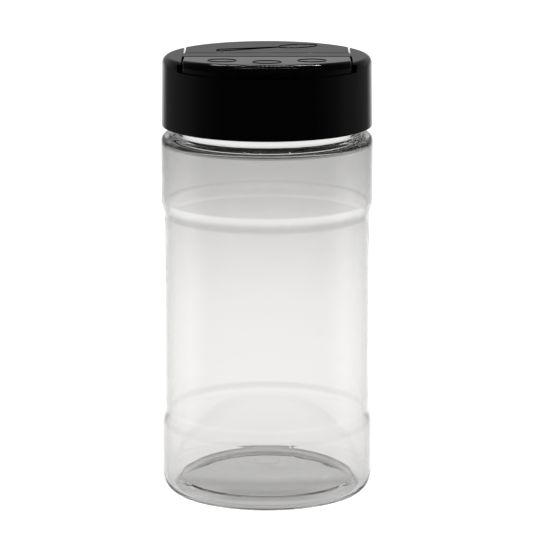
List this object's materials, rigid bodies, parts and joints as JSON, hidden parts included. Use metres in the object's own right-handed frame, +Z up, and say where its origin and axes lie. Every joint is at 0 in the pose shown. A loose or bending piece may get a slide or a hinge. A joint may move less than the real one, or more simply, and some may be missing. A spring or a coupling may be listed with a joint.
{
  "type": "spice shaker jar",
  "caption": "Clear round spice jar with a black screw cap that has a hinged flap over shaking holes and a hinged flap over a spoon opening.",
  "frame": {"origin": "centre of the face the jar stands on", "axes": "+Z up through the cap, -Y the side of the shaker flap, +X to the right of it"},
  "size_m": [0.0588, 0.0588, 0.1243],
  "materials": {
    "clear_pet": "clear blow-moulded PET, glossy",
    "liner_foam": "foamed polyethylene, matt",
    "black_pp": "injection-moulded black polypropylene, semi-gloss"
  },
  "bodies": {
    "jar": {"jar": "clear_pet"},
    "liner": {"cap_liner": "liner_foam"},
    "cap": {"cap_body": "black_pp", "shaker_hinge": "black_pp", "spoon_hinge": "black_pp"},
    "shaker_flap": {"shaker_flap": "black_pp"},
    "spoon_flap": {"spoon_flap": "black_pp"}
  },
  "joints": [
    {"name": "cap_rise", "type": "slide", "parent": "jar", "child": "liner", "axis": [0, 0, 1], "range_m": [0, 0.00635]},
    {"name": "cap_turn", "type": "hinge", "parent": "liner", "child": "cap", "pos_m": [0, 0, 0.1192], "axis": [0, 0, 1], "range_deg": [0, 540]},
    {"name": "shaker_flap_hinge", "type": "hinge", "parent": "cap", "child": "shaker_flap", "pos_m": [0, -0.0036, 0.12298], "axis": [-1, 0, 0], "range_deg": [0, 95], "deforming": ["shaker_hinge"]},
    {"name": "spoon_flap_hinge", "type": "hinge", "parent": "cap", "child": "spoon_flap", "pos_m": [0, 0.0036, 0.12298], "axis": [1, 0, 0], "range_deg": [0, 95], "deforming": ["spoon_hinge"]}
  ],
  "couplings": [
    {"joint": "cap_rise", "follows": "cap_turn", "m_per_rad": 0.00067322}
  ]
}
